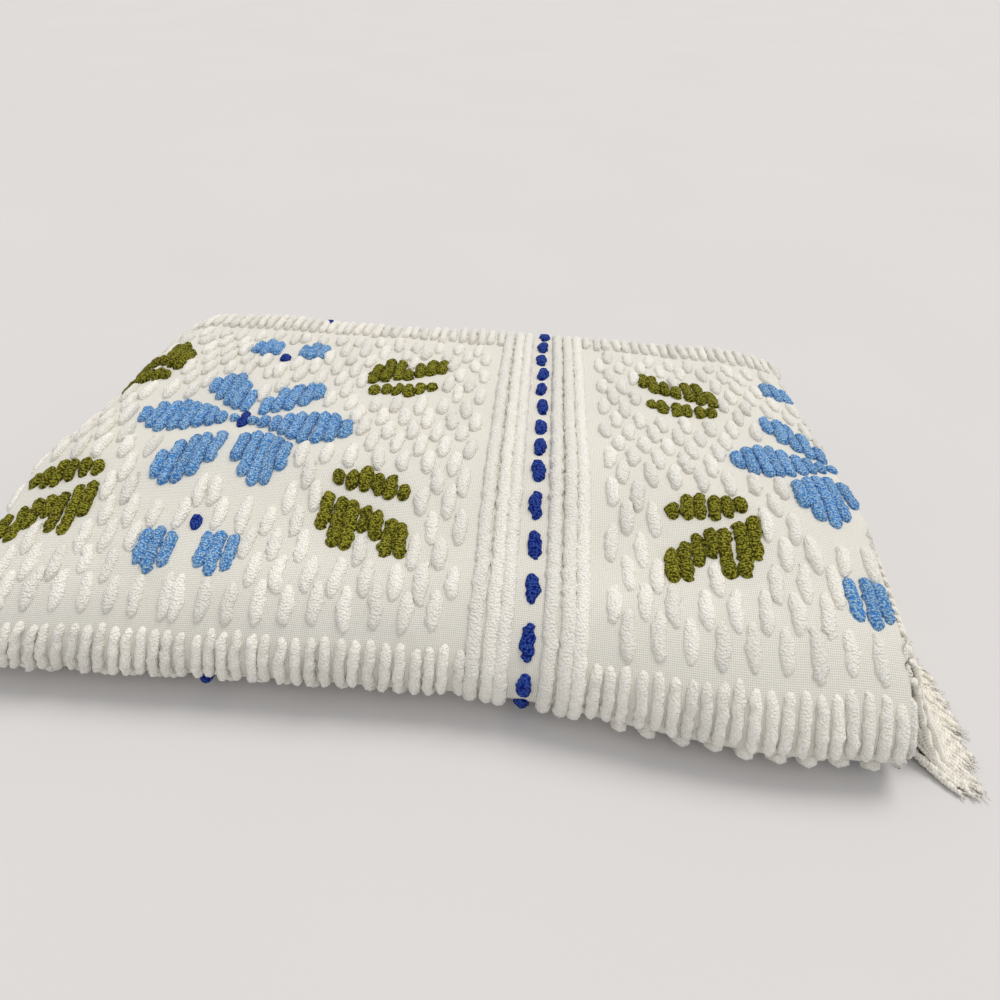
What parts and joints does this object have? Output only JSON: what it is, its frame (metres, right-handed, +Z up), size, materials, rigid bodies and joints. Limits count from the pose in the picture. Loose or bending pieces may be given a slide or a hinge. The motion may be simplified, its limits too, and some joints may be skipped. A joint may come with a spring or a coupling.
{
  "type": "chenille bedspread",
  "caption": "Tufted cotton bedspread with a yarn fringe, folded into a thick rectangular bundle that lies flat on its lowest ply.",
  "frame": {"origin": "on the table, under the middle of the folded bundle, on the lowest ply's flat underside", "axes": "+X along the bundle's long side towards the fringe, +Y from the front fold to the back, +Z up"},
  "size_m": [0.6973, 0.4357, 0.1011],
  "materials": {
    "tufted_cotton": "plain-woven cotton with cut-pile chenille tufts in cream white, light blue, royal blue and olive; matt",
    "twisted_yarn": "crinkled twisted cotton yarn, cream, matt"
  },
  "bodies": {
    "root": {"spread": "tufted_cotton", "fringe": "twisted_yarn"}
  },
  "joints": []
}
